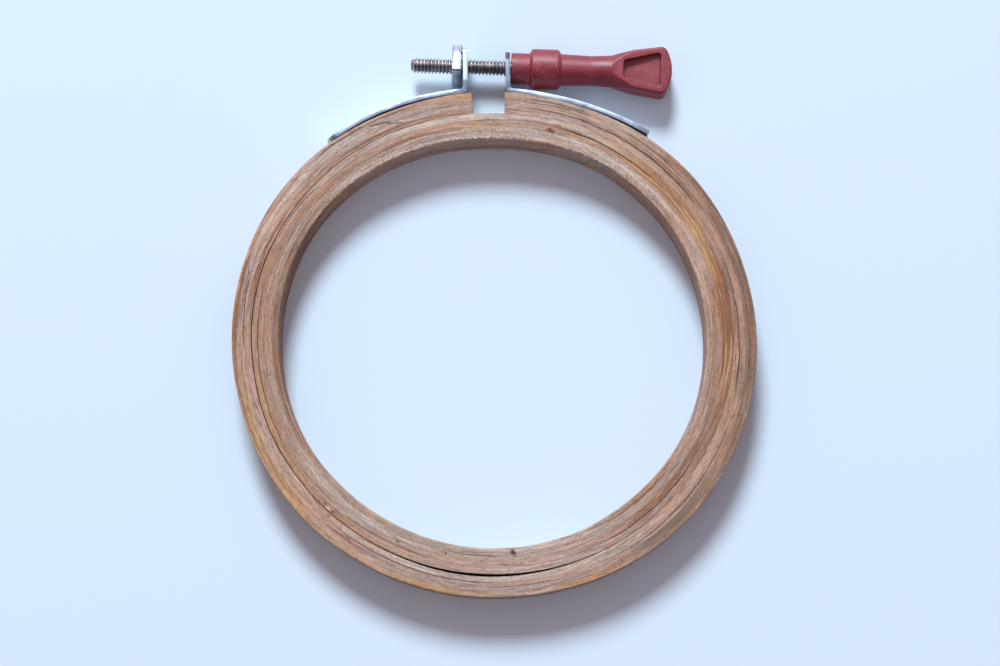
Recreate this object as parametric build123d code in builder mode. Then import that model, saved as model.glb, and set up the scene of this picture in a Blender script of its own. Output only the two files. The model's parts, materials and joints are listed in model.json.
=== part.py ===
from build123d import *
from math import cos, radians, sin, tan
import os

os.makedirs("parts", exist_ok=True)

# Millimetres. The origin is the centre of the inner ring on the plane that the hoop lies on.
# The outer ring is split at +Y, where the clamp is, and the clamp screw runs roughly along X.

# Wooden rings, each glued up from bent plies
ring_height = 9.5
ply_count = 4
inner_ring_outer_radius = 50.8
inner_ply_thickness = 1.4
outer_ply_thickness = 1.05
ring_fit_clearance = 0.30
outer_ring_shift = 0.25
edge_rounding = 0.5
ply_joint_gap = 0.15
inner_ply_joint_angles = (62.0, 143.0, 305.0, 222.0)
split_width = 7.2

# Clamp screw, its thread and the part of it that is moulded into the handle
screw_lean = 2.8
screw_radius = 1.75
thread_pitch = 0.79375
thread_depth = 0.487
thread_flat = 0.1
thread_turns = 26
screw_tail = 16.85
screw_tip_length = 0.6
screw_tip_drop = 0.2
shank_radius = 1.5
shank_length = 17.0
anchor_across_flats = 4.6
anchor_length = 3.0

# Square nut, turned a little about the screw
nut_across_flats = 7.0
nut_thickness = 2.2
nut_turn = -22.5
nut_bore_clearance = 0.05
nut_seat_gap = 0.05
nut_edge_chamfer = 0.25

# Steel clamp brackets, each a strap bent out into a lug
bracket_thickness = 1.0
bracket_height = 8.0
bend_radius = 1.7
lug_hole_clearance = 0.25
left_lug_setback = 0.8
right_lug_setback = 0.3
left_lug_reach = 3.5
right_lug_reach = 2.9
left_lug_corner = 1.2
slot_travel = 0.7
slot_offset = 0.3
left_strap_angle = 37.8
right_strap_angle = 37.2
left_strap_gaps = (0.15, 0.55, 0.2)
right_strap_gaps = (0.1, 0.25, 0.75)
strap_tail_rounding = 2.4
torn_depths = (0.1, 0.6, 0.25, 0.7, 0.35, 0.5, 0.15)

# Nails that hold the straps to the outer ring
left_nail_angles = (9.5, 31.0)
right_nail_angles = (9.0, 17.0)
nail_radius = 0.6
nail_head_radius = 1.4
nail_head_thickness = 0.45
nail_grip = 3.2
nail_point_length = 0.8
nail_point_radius = 0.2
nail_clearance = 0.05

# Moulded handle, measured along the screw from its stub face
handle_seat_gap = 0.25
stub_radius = 3.4
stub_length = 4.2
collar_radius = 4.42
collar_length = 6.6
collar_chamfer = 0.55
collar_clearance = 1.23
stem_radius = 3.5
stem_length = 6.8
neck_radius = 3.25
neck_length = 4.4
paddle_length = 13.3
paddle_root_width = 7.0
paddle_end_width = 11.0
paddle_end_thickness = 5.2
paddle_end_bulge = 1.7
flare_excess = 2.5
flare_margin = 0.05
flare_blend = 9.0
paddle_corner_radius = 1.4
paddle_edge_rounding = 0.6
recess_depth = 1.0
recess_setback = 2.6
recess_root_width = 3.6
recess_end_width = 8.0
recess_rim = 1.7
recess_corner_radius = 0.7

# Lengths closer than this count as equal when edges are picked
pick_tolerance = 0.01

# Sizes that follow from the ones above
outer_ring_bore_radius = inner_ring_outer_radius + ring_fit_clearance
outer_ring_thickness = ply_count * outer_ply_thickness
outer_ring_radius = outer_ring_bore_radius + outer_ring_thickness
outer_ring_centre = (0.0, -outer_ring_shift)
screw_height = ring_height / 2
screw_standoff = collar_radius + bracket_thickness + collar_clearance
screw_distance = outer_ring_radius - outer_ring_shift + screw_standoff
bracket_low = screw_height - bracket_height / 2
left_lug_face = split_width / 2 + left_lug_setback
right_lug_face = split_width / 2 + right_lug_setback
lug_hole_radius = screw_radius + lug_hole_clearance

# The screw leans in its loose lug holes, so the clamp's own X runs along the screw
lean_direction = Vector(cos(radians(screw_lean)), -sin(radians(screw_lean)), 0)
screw_point = Vector(0, screw_distance, screw_height)
clamp_plane = Plane(origin=screw_point, x_dir=lean_direction, z_dir=(0, 0, 1))
screw_line = Axis(screw_point, lean_direction)


def across_screw(along):
    """Plane square to the screw, with its own X roughly along +Y and its Y up."""
    centre = screw_point + lean_direction * along
    return Plane(origin=centre, x_dir=clamp_plane.y_dir, z_dir=lean_direction)


def along_screw(edge):
    """How far along the screw an edge's centre is."""
    return clamp_plane.to_local_coords(edge.center()).X


def ring_point(angle, radius):
    """Point on a circle about the outer ring's centre, at an angle from +Y towards +X."""
    x = outer_ring_centre[0] + radius * sin(radians(angle))
    y = outer_ring_centre[1] + radius * cos(radians(angle))
    return (x, y)


def strap_arc(side, lug_face, full_angle, gaps):
    """Wood side of a strap from its tail to its foot at the lug, through three standing gaps."""
    foot_gap, middle_gap, tail_gap = gaps
    foot_radius = outer_ring_radius + foot_gap
    foot_y = outer_ring_centre[1] + (foot_radius**2 - lug_face**2) ** 0.5
    tail = ring_point(side * full_angle, outer_ring_radius + tail_gap)
    middle = ring_point(side * full_angle / 2, outer_ring_radius + middle_gap)
    return ThreePointArc(tail, middle, (side * lug_face, foot_y), mode=Mode.PRIVATE)


def nail_plane(angle, side, strap):
    """Plane on a strap's outer face under a nail head, looking outwards."""
    outward = Vector(sin(radians(side * angle)), cos(radians(side * angle)), 0)
    seat = strap.arc_center + outward * (strap.radius + bracket_thickness)
    return Plane(origin=(seat.X, seat.Y, screw_height), x_dir=(0, 0, 1), z_dir=outward)


left_strap = strap_arc(-1, left_lug_face, left_strap_angle, left_strap_gaps)
right_strap = strap_arc(1, right_lug_face, right_strap_angle, right_strap_gaps)
left_nail_planes = [nail_plane(a, -1, left_strap) for a in left_nail_angles]
right_nail_planes = [nail_plane(a, 1, right_strap) for a in right_nail_angles]


def nail_holes(planes):
    """Cut the holes for the nails into the part being built."""
    depth = bracket_thickness + nail_grip
    for plane in planes:
        with BuildSketch(plane) as hole:
            Circle(nail_radius + nail_clearance)
        extrude(hole.sketch, amount=-depth - nail_clearance, mode=Mode.SUBTRACT)


def finish_piece(piece, name):
    """Label a piece and write its file."""
    piece.part.label = name
    export_step(piece.part, f"parts/{name}.step")


# Inner ring: four closed plies, each a strip whose two ends meet at a butt joint.
# The opening's upper edge is sanded round and its lower edge is left as sawn.
for index, joint_angle in enumerate(inner_ply_joint_angles):
    ply_outer = inner_ring_outer_radius - (ply_count - 1 - index) * inner_ply_thickness
    ply_middle = ply_outer - inner_ply_thickness / 2
    with BuildPart() as inner_ply:
        with BuildSketch(Plane.XY):
            Circle(ply_outer)
            Circle(ply_outer - inner_ply_thickness, mode=Mode.SUBTRACT)
        extrude(amount=ring_height)
        if index == 0:
            bore_edges = inner_ply.edges().filter_by(GeomType.CIRCLE).group_by(SortBy.RADIUS)[0]
            fillet(bore_edges.sort_by(Axis.Z)[-1], radius=edge_rounding)
        with BuildSketch(Plane.XY):
            with PolarLocations(ply_middle, 1, start_angle=joint_angle):
                Rectangle(2 * inner_ply_thickness, ply_joint_gap)
        extrude(amount=ring_height, mode=Mode.SUBTRACT)
    finish_piece(inner_ply, f"inner_ring_ply_{index + 1}")


# Outer ring: four plies split at the clamp, with the nails' holes through the outer ones
for index in range(ply_count):
    ply_inner = outer_ring_bore_radius + index * outer_ply_thickness
    with BuildPart() as outer_ply:
        with BuildSketch(Plane.XY):
            with Locations(outer_ring_centre):
                Circle(ply_inner + outer_ply_thickness)
                Circle(ply_inner, mode=Mode.SUBTRACT)
            with Locations(ring_point(0, ply_inner)):
                Rectangle(split_width, outer_ring_thickness, mode=Mode.SUBTRACT)
        extrude(amount=ring_height)
        if index == ply_count - 1:
            rim_edges = outer_ply.edges().filter_by(GeomType.CIRCLE).group_by(SortBy.RADIUS)[-1]
            fillet(rim_edges, radius=edge_rounding)
        nail_holes(left_nail_planes + right_nail_planes)
    finish_piece(outer_ply, f"outer_ring_ply_{index + 1}")


def strap_outline(side, strap, lug_end):
    """Closed outline of a bracket seen from above: strap, bend and lug."""
    foot = strap @ 1
    with BuildLine() as path:
        add(strap)
        Line(foot, (foot.X, lug_end))
        fillet(path.vertices().sort_by_distance(foot)[0], radius=bend_radius)
        thick_side = Side.LEFT if side < 0 else Side.RIGHT
        offset(amount=bracket_thickness, side=thick_side)
    make_face(path.edges())


def edges_across(bracket):
    """Straight edges of a bracket that are as long as its sheet is thick."""
    return bracket.edges().filter_by(lambda e: abs(e.length - bracket_thickness) < pick_tolerance)


# Left bracket: its lug is slotted, so that it can swing while the ring opens
left_axis_y = screw_distance + (left_lug_face + bracket_thickness / 2) * tan(radians(screw_lean))
left_lug_end = left_axis_y + left_lug_reach
with BuildPart() as left_bracket:
    with BuildSketch(Plane.XY.offset(bracket_low)):
        strap_outline(-1, left_strap, left_lug_end)
    extrude(amount=bracket_height)
    fillet(edges_across(left_bracket).sort_by(Axis.X)[:2], radius=strap_tail_rounding)
    fillet(edges_across(left_bracket).sort_by(Axis.Y)[-2:], radius=left_lug_corner)
    with BuildSketch(across_screw(-left_lug_face - bracket_thickness / 2)):
        with Locations((slot_offset, 0)):
            SlotOverall(2 * lug_hole_radius + slot_travel, 2 * lug_hole_radius)
    extrude(amount=2 * bracket_thickness, both=True, mode=Mode.SUBTRACT)
    nail_holes(left_nail_planes)
finish_piece(left_bracket, "left_bracket")


# Right bracket: its lug was torn off rough, and its strap is cut square
right_axis_y = screw_distance - (right_lug_face + bracket_thickness / 2) * tan(radians(screw_lean))
right_lug_end = right_axis_y + right_lug_reach
with BuildPart() as right_bracket:
    with BuildSketch(Plane.XY.offset(bracket_low)):
        strap_outline(1, right_strap, right_lug_end)
    extrude(amount=bracket_height)
    with BuildSketch(across_screw(right_lug_face + bracket_thickness / 2)):
        with BuildLine():
            half_height = bracket_height / 2 + bracket_thickness
            step = 2 * half_height / (len(torn_depths) - 1)
            torn = [(right_lug_reach - d, -half_height + i * step) for i, d in enumerate(torn_depths)]
            beyond = right_lug_reach + bracket_thickness
            Polyline(*torn, (beyond, half_height), (beyond, -half_height), close=True)
        make_face()
        Circle(lug_hole_radius)
    extrude(amount=2 * bracket_thickness, both=True, mode=Mode.SUBTRACT)
    nail_holes(right_nail_planes)
finish_piece(right_bracket, "right_bracket")


def nail_set(planes):
    """Flat-headed nails with blunt points, one for each plane."""
    with BuildPart() as nails:
        for plane in planes:
            length = bracket_thickness + nail_grip - nail_point_length
            with BuildSketch(plane):
                Circle(nail_head_radius)
            extrude(amount=nail_head_thickness)
            with BuildSketch(plane):
                Circle(nail_radius)
            extrude(amount=-length)
            with BuildSketch(plane.offset(-length)):
                Circle(nail_radius)
            with BuildSketch(plane.offset(-length - nail_point_length)):
                Circle(nail_point_radius)
            loft()
    return nails


finish_piece(nail_set(left_nail_planes), "left_bracket_nails")
finish_piece(nail_set(right_nail_planes), "right_bracket_nails")


# Clamp screw, drawn along the clamp's own X and turned about it
stub_face = right_lug_face + bracket_thickness + handle_seat_gap
thread_start = -screw_tail + screw_tip_length
thread_root = screw_radius - thread_depth
shank_end = stub_face + shank_length


def thread_outline():
    """Crest and root corners of the thread's section, one set for each turn."""
    flank = (thread_pitch - 2 * thread_flat) / 2
    corners = []
    for turn in range(thread_turns):
        start = thread_start + turn * thread_pitch
        corners.append((start, thread_root))
        corners.append((start + flank, screw_radius))
        corners.append((start + flank + thread_flat, screw_radius))
        corners.append((start + 2 * flank + thread_flat, thread_root))
    return corners


with BuildPart() as clamp_screw:
    with BuildSketch(clamp_plane):
        with BuildLine():
            Polyline(
                (-screw_tail, 0),
                (-screw_tail, thread_root - screw_tip_drop),
                *thread_outline(),
                (stub_face, thread_root),
                (stub_face, shank_radius),
                (shank_end, shank_radius),
                (shank_end, 0),
                close=True,
            )
        make_face()
    revolve(axis=screw_line)
    with BuildSketch(across_screw(shank_end)):
        RegularPolygon(anchor_across_flats / 2, 6, major_radius=False)
    extrude(amount=-anchor_length)
finish_piece(clamp_screw, "clamp_screw")


# Square nut against the left lug, touching it along the nut's upper edge
nut_reach = left_lug_end - left_axis_y
nut_right = -left_lug_face - bracket_thickness - nut_seat_gap - nut_reach * tan(radians(screw_lean))
with BuildPart() as clamp_nut:
    with BuildSketch(across_screw(nut_right)):
        Rectangle(nut_across_flats, nut_across_flats, rotation=nut_turn)
    extrude(amount=-nut_thickness)
    chamfer(clamp_nut.edges(), length=nut_edge_chamfer)
    with BuildSketch(across_screw(nut_right)):
        Circle(screw_radius + nut_bore_clearance)
    extrude(amount=-nut_thickness, mode=Mode.SUBTRACT)
finish_piece(clamp_nut, "clamp_nut")


# Handle: stub, collar and stem turned about the screw, then a flat paddle to pinch
collar_start = stub_face + stub_length
collar_end = collar_start + collar_length
stem_end = collar_end + stem_length
paddle_root = stem_end + neck_length
paddle_end = paddle_root + paddle_length
paddle_corner = paddle_end - paddle_end_bulge
root_reach = paddle_root_width / 2
end_reach = paddle_end_width / 2 + flare_excess
root_half_width = root_reach + flare_margin
recess_root = paddle_root + recess_setback
recess_end = paddle_corner - recess_rim + paddle_end_bulge / 2
recess_floor = paddle_end_thickness / 2 - recess_depth


# The paddle is a flared cone, cut flat above and below from its root on and trimmed to its fan-shaped outline
with BuildPart() as paddle:
    with BuildSketch(clamp_plane):
        with BuildLine():
            Polyline(
                (stem_end, 0),
                (stem_end, neck_radius),
                (paddle_root, root_reach),
                (paddle_end, end_reach),
                (paddle_end, 0),
                close=True,
            )
        make_face()
    revolve(axis=screw_line)
    with BuildSketch(clamp_plane) as fan:
        with BuildLine():
            upper_corner = (paddle_corner, paddle_end_width / 2)
            lower_corner = (paddle_corner, -paddle_end_width / 2)
            ThreePointArc(lower_corner, (paddle_end, 0), upper_corner)
            Polyline(
                upper_corner,
                (paddle_root, root_half_width),
                (stem_end, root_half_width),
                (stem_end, -root_half_width),
                (paddle_root, -root_half_width),
                lower_corner,
            )
        make_face()
        fillet(fan.vertices().sort_by(Axis.X)[-2:], radius=paddle_corner_radius)
        roots = (paddle_root - pick_tolerance, paddle_root + pick_tolerance)
        fillet(fan.vertices().filter_by_position(Axis.X, *roots), radius=flare_blend)
    extrude(amount=end_reach, both=True, mode=Mode.INTERSECT)
    with BuildSketch(Plane(origin=screw_point, x_dir=lean_direction, z_dir=-clamp_plane.y_dir)):
        with BuildLine():
            Polyline(
                (stem_end, end_reach),
                (paddle_root, root_reach),
                (paddle_end, paddle_end_thickness / 2),
                (paddle_end, -paddle_end_thickness / 2),
                (paddle_root, -root_reach),
                (stem_end, -end_reach),
                close=True,
            )
        make_face()
    extrude(amount=end_reach, both=True, mode=Mode.INTERSECT)
    flats = paddle.faces().sort_by(SortBy.AREA)[-2:]
    rim = [e for e in flats.edges() if along_screw(e) > paddle_root + paddle_length / 3]
    fillet(rim, radius=paddle_edge_rounding)


with BuildPart() as handle:
    with BuildSketch(clamp_plane):
        with BuildLine():
            Polyline(
                (stub_face, 0),
                (stub_face, stub_radius),
                (collar_start, stub_radius),
                (collar_start, collar_radius - collar_chamfer),
                (collar_start + collar_chamfer, collar_radius),
                (collar_end - collar_chamfer, collar_radius),
                (collar_end, collar_radius - collar_chamfer),
                (collar_end, stem_radius),
                (stem_end, neck_radius),
                (stem_end, 0),
                close=True,
            )
        make_face()
    revolve(axis=screw_line)
    add(paddle.part)
    for side in (1, -1):
        with BuildSketch(clamp_plane.offset(side * recess_floor)) as recess:
            with BuildLine():
                Polyline(
                    (recess_root, recess_root_width / 2),
                    (recess_end, recess_end_width / 2),
                    (recess_end, -recess_end_width / 2),
                    (recess_root, -recess_root_width / 2),
                    close=True,
                )
            make_face()
            fillet(recess.vertices(), radius=recess_corner_radius)
        extrude(amount=side * root_reach, mode=Mode.SUBTRACT)
    add(clamp_screw.part, mode=Mode.SUBTRACT)
finish_piece(handle, "handle")
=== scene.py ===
import bmesh
import bpy
import json
import math
import numpy as np
from mathutils import Matrix, Vector


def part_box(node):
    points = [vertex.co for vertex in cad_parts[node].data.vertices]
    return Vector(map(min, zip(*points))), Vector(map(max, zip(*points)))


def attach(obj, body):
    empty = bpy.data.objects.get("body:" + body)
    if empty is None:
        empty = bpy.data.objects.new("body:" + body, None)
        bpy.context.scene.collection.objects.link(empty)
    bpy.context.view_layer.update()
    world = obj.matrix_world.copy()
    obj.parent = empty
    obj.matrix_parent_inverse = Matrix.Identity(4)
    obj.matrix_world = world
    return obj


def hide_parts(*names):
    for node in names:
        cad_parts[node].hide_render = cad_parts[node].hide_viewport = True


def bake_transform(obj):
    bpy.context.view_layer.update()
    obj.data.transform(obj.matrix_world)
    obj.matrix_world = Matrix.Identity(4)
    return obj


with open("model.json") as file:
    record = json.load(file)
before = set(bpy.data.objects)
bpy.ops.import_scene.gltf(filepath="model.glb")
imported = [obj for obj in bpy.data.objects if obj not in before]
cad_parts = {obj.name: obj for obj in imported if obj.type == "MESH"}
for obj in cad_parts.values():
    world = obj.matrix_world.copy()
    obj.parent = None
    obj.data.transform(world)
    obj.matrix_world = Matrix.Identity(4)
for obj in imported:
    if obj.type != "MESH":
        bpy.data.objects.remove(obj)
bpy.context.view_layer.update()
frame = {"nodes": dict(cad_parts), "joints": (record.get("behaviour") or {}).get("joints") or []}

MM = 0.001

# Sizes of the two rings, each of four bent plies, in millimetres
PLY_COUNT = 4
INNER_BORE = 45.2
INNER_PLY = 1.4
INNER_GLUE = 0.12
OUTER_BORE = 51.1
OUTER_PLY = 1.05
OUTER_GLUE = 0.09
INNER_BOUNDARIES = tuple(INNER_BORE + INNER_PLY * index for index in range(PLY_COUNT + 1))
OUTER_BOUNDARIES = tuple(OUTER_BORE + OUTER_PLY * index for index in range(PLY_COUNT + 1))
OUTER_CENTRE = (0.0, -0.25)
RING_HEIGHT = round(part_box("inner_ring_ply_1")[1].z / MM, 2)

# Half of the split at the clamp, half of the gap in a butt joint, and the bearings of these joints
SPLIT_HALF = 3.6
JOINT_HALF = 0.012
JOINT_BEARINGS = (28.0, 307.0, 145.0, 228.0)

# Line of the clamp screw, which leans a little in its holes
screw_joint = next(joint for joint in frame["joints"] if joint["name"] == "screw_turn")
SCREW_POINT = Vector(screw_joint["pos_m"]) / MM
SCREW_LINE = Vector(screw_joint["axis"]).normalized()
SCREW_LEAN = math.atan2(-SCREW_LINE.y, SCREW_LINE.x)


# Small helpers for node trees
def fill(tree, inputs, values):
    """Inputs of a node set or linked, each by its name or number."""
    for key, value in values.items():
        if isinstance(value, bpy.types.NodeSocket):
            tree.links.new(value, inputs[key])
        else:
            inputs[key].default_value = value


def node(tree, kind, values=None, **settings):
    """A node with its settings made and its inputs filled."""
    made = tree.nodes.new(kind)
    for key, value in settings.items():
        setattr(made, key, value)
    fill(tree, made.inputs, values or {})
    return made


def calc(tree, operation, a, b=0.0, c=0.0, clamp=False):
    """One step of arithmetic on numbers or sockets."""
    return node(tree, "ShaderNodeMath", {0: a, 1: b, 2: c}, operation=operation, use_clamp=clamp).outputs[0]


def times(tree, a, b):
    """Product of two numbers or sockets."""
    return calc(tree, "MULTIPLY", a, b)


def plus(tree, a, b):
    """Sum of two numbers or sockets."""
    return calc(tree, "ADD", a, b)


def less(tree, a, b, clamp=False):
    """Difference of two numbers or sockets."""
    return calc(tree, "SUBTRACT", a, b, clamp=clamp)


def times_plus(tree, a, b, c):
    """Product of the first two numbers or sockets, plus the third."""
    return calc(tree, "MULTIPLY_ADD", a, b, c)


def vector_calc(tree, operation, a, b=None):
    """One step of arithmetic on vectors."""
    values = {0: a} if b is None else {0: a, 1: b}
    return node(tree, "ShaderNodeVectorMath", values, operation=operation).outputs


def joined(tree, x=0.0, y=0.0, z=0.0):
    """A vector from three numbers or sockets."""
    return node(tree, "ShaderNodeCombineXYZ", {"X": x, "Y": y, "Z": z}).outputs[0]


def fade(tree, value, low, high, to_low=0.0, to_high=1.0):
    """Smooth step of a value between two limits."""
    values = {"Value": value, "From Min": low, "From Max": high, "To Min": to_low, "To Max": to_high}
    return node(tree, "ShaderNodeMapRange", values, interpolation_type="SMOOTHSTEP").outputs["Result"]


def band(tree, value, limits):
    """1 between the middle two of four limits, fading to 0 at the outer two."""
    start, full, last, end = limits
    return times(tree, fade(tree, value, start, full), fade(tree, value, end, last))


def blend_colours(tree, share, first, second, mode="MIX"):
    """Mix of two colours, by a share of the second one."""
    values = {0: share, 6: first, 7: second}
    return node(tree, "ShaderNodeMix", values, data_type="RGBA", blend_type=mode).outputs[2]


def stained(tree, colour, mask, strength, stain):
    """A colour with a stain over it where a mask says."""
    return blend_colours(tree, times(tree, mask, strength), colour, stain)


def even_noise(tree, place, scale, detail=2.0, roughness=0.5, distortion=0.0):
    """Noise of one size in every direction."""
    values = {"Vector": place, "Scale": scale, "Detail": detail, "Roughness": roughness,
              "Distortion": distortion}
    return node(tree, "ShaderNodeTexNoise", values).outputs["Fac"]


def noise(tree, place, scale, shift=(0.0, 0.0, 0.0), detail=2.0, roughness=0.5, distortion=0.0):
    """Noise on a place that is first stretched along each of its directions and shifted."""
    stretched = node(tree, "ShaderNodeMapping", {"Vector": place, "Scale": scale, "Location": shift})
    return even_noise(tree, stretched.outputs["Vector"], 1.0, detail, roughness, distortion)


def new_group(name, inputs, outputs):
    """A shader group whose inputs are numbers with a default, or vectors, and whose outputs are numbers."""
    group = bpy.data.node_groups.new(name, "ShaderNodeTree")
    for label, default in inputs.items():
        kind = "NodeSocketVector" if default is None else "NodeSocketFloat"
        socket = group.interface.new_socket(name=label, in_out="INPUT", socket_type=kind)
        if default is not None:
            socket.default_value = default
    for label in outputs:
        group.interface.new_socket(name=label, in_out="OUTPUT", socket_type="NodeSocketFloat")
    return group, group.nodes.new("NodeGroupInput").outputs, group.nodes.new("NodeGroupOutput").inputs


def place_group(tree, group, **values):
    """A group placed in a tree, its inputs given by name with underscores for spaces."""
    made = tree.nodes.new("ShaderNodeGroup")
    made.node_tree = group
    fill(tree, made.inputs, {key.replace("_", " "): value for key, value in values.items()})
    return made.outputs


def new_material(name):
    """An empty material with its shader and its output joined."""
    material = bpy.data.materials.new(name)
    material.use_nodes = True
    tree = material.node_tree
    tree.nodes.clear()
    shader = tree.nodes.new("ShaderNodeBsdfPrincipled")
    output = tree.nodes.new("ShaderNodeOutputMaterial")
    tree.links.new(shader.outputs["BSDF"], output.inputs["Surface"])
    return material, tree, shader


def add_relief(tree, shader, height, strength, depth):
    """Small relief on a surface, its depth in metres."""
    bump = node(tree, "ShaderNodeBump", {"Strength": strength, "Distance": depth, "Height": height})
    tree.links.new(bump.outputs["Normal"], shader.inputs["Normal"])


def linear(red, green, blue):
    """A screen colour of 0 to 255 a channel as a linear colour."""
    channels = []
    for value in (red, green, blue):
        share = value / 255
        channels.append(share / 12.92 if share <= 0.04045 else ((share + 0.055) / 1.055) ** 2.4)
    return (*channels, 1.0)


def in_scene(label, data):
    """A new object for a mesh, a lamp or a camera, linked to the scene."""
    made = bpy.data.objects.new(label, data)
    bpy.context.scene.collection.objects.link(made)
    return made


def made_mesh(piece):
    """Mesh of a piece as its modifiers make it, which takes the place of the modifiers."""
    depsgraph = bpy.context.evaluated_depsgraph_get()
    mesh = bpy.data.meshes.new_from_object(piece.evaluated_get(depsgraph))
    piece.modifiers.clear()
    piece.data = mesh
    return mesh


def smooth_between(mesh, sharp_degrees):
    """Smooth shading, apart from edges sharper than an angle."""
    mesh.shade_smooth()
    mesh.set_sharp_from_angle(angle=math.radians(sharp_degrees))


def only_material(mesh, material):
    """One material all over a mesh."""
    mesh.materials.clear()
    mesh.materials.append(material)
    mesh.polygons.foreach_set("material_index", [0] * len(mesh.polygons))


# Shader groups
def wood_figure_group():
    """Figure of a bent ply: drifting growth lines, streaks, saw marks, fibres, pores and slivers."""
    group, enter, leave = new_group(
        "bent_ply_figure",
        {"Grain": None, "Seed": 0.0, "Drift": 1.5, "Line Spacing": 1.3},
        ["Line", "Streak", "Fibre", "Saw Mark", "Pore", "Patch", "Fuzz", "Dark Sliver", "Pale Sliver"],
    )
    grain, seed = enter["Grain"], enter["Seed"]
    parts = node(group, "ShaderNodeSeparateXYZ", {0: grain}).outputs
    shifted = joined(group, parts[0], seed, parts[2])
    slow = noise(group, shifted, (0.022, 7.3, 0.05), detail=1.0)
    quick = noise(group, shifted, (0.09, 5.1, 0.16), (3.0, 2.0, 1.0), 1.0)
    slow_swing = less(group, slow, 0.5)
    swing = times_plus(group, less(group, quick, 0.5), 0.35, slow_swing)
    swing = times(group, swing, times(group, enter["Drift"], 3.0))
    depth = plus(group, plus(group, parts[1], swing), times(group, parts[2], 0.31))
    depth = plus(group, depth, times(group, seed, 3.7))
    across = joined(group, parts[0], depth, parts[2])

    phase = calc(group, "DIVIDE", depth, enter["Line Spacing"])
    wobble = noise(group, across, (0.07, 0.6, 0.1), detail=3.0, roughness=0.6)
    saw = calc(group, "FRACT", plus(group, phase, times(group, wobble, 1.7)))
    ridge = times(group, calc(group, "POWER", saw, 6.0), fade(group, saw, 1.0, 0.93))
    strength = fade(group, noise(group, across, (0.09, 0.7, 0.2), (9.0, 4.0, 2.0)), 0.42, 0.66)
    leaning = times_plus(group, parts[1], 0.75, parts[0])
    brushed = joined(group, leaning, parts[1], plus(group, parts[2], seed))
    slanted = joined(group, parts[0], times_plus(group, parts[0], 0.035, depth), parts[2])
    sliver = noise(group, slanted, (0.17, 4.6, 1.6), (2.0, 5.0, 8.0), 3.0, 0.6, 0.3)
    pore = noise(group, across, (0.9, 3.6, 3.2), (7.0, 3.0, 5.0), 1.0)
    fill(group, leave, {
        "Line": times(group, ridge, strength),
        "Streak": noise(group, across, (0.11, 2.3, 1.0), (5.0, 1.0, 7.0), 3.0, 0.62),
        "Fibre": noise(group, grain, (0.55, 3.4, 3.0), (1.0, 8.0, 3.0), 3.0, 0.65, 0.4),
        "Saw Mark": noise(group, brushed, (2.7, 0.75, 0.6), detail=3.0, roughness=0.6),
        "Pore": fade(group, pore, 0.62, 0.73),
        "Patch": noise(group, shifted, (0.06, 3.1, 0.09), (2.0, 6.0, 4.0)),
        "Fuzz": noise(group, grain, (1.9, 2.6, 2.2), detail=4.0, roughness=0.75),
        "Dark Sliver": fade(group, sliver, 0.60, 0.72),
        "Pale Sliver": fade(group, sliver, 0.40, 0.28),
    })
    return group


def glue_line_group():
    """Dark glue line along the glued sides of a ply, coming and going along its length."""
    group, enter, leave = new_group(
        "glue_line",
        {"Grain": None, "Across": 0.5, "Thickness": 1.2, "Width": 0.1, "Inner Side": 1.0,
         "Outer Side": 1.0, "Seed": 0.0},
        ["Line", "Halo"],
    )
    across = enter["Across"]
    inner = plus(group, across, less(group, 1.0, enter["Inner Side"]))
    outer = less(group, 2.0, plus(group, across, enter["Outer Side"]))
    distance = times(group, calc(group, "MINIMUM", inner, outer), enter["Thickness"])
    shift = joined(group, y=enter["Seed"], z=enter["Seed"])
    seeded = vector_calc(group, "ADD", enter["Grain"], shift)[0]
    rough = noise(group, seeded, (1.3, 1.3, 1.3), detail=3.0, roughness=0.65)
    coming = noise(group, seeded, (0.06, 0.4, 0.02), (4.0, 2.0, 0.0))
    width = times(group, enter["Width"], times_plus(group, rough, 1.8, 0.1))
    line = less(group, 1.0, calc(group, "DIVIDE", distance, width), clamp=True)
    line = times(group, fade(group, line, 0.0, 0.8), fade(group, coming, 0.5, 0.66, 0.0, 0.8))
    halo = less(group, 1.0, calc(group, "DIVIDE", distance, times(group, width, 4.0)), clamp=True)
    halo = times(group, halo, fade(group, coming, 0.35, 0.7))
    fill(group, leave, {"Line": line, "Halo": halo})
    return group


def wood_mark_group():
    """A soft-edged spot at one place, stretched along the ring, for a knot, a stain or a nick."""
    group, enter, leave = new_group(
        "wood_mark",
        {"Turn": 0.0, "Radius": 50.0, "Grain": None, "At Turn": 0.0, "At Radius": 50.0, "Length": 1.0,
         "Width": 0.5},
        ["Mask"],
    )
    swept = calc(group, "RADIANS", less(group, enter["Turn"], enter["At Turn"]))
    along = calc(group, "DIVIDE", times(group, swept, enter["At Radius"]), enter["Length"])
    off = less(group, enter["Radius"], enter["At Radius"])
    off = calc(group, "DIVIDE", off, enter["Width"])
    ragged = even_noise(group, enter["Grain"], 1.7, 3.0)
    reach = calc(group, "SQRT", times_plus(group, along, along, times(group, off, off)))
    reach = times_plus(group, less(group, ragged, 0.5), 1.3, reach)
    group.links.new(fade(group, reach, 1.05, 0.35), leave["Mask"])
    return group


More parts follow.
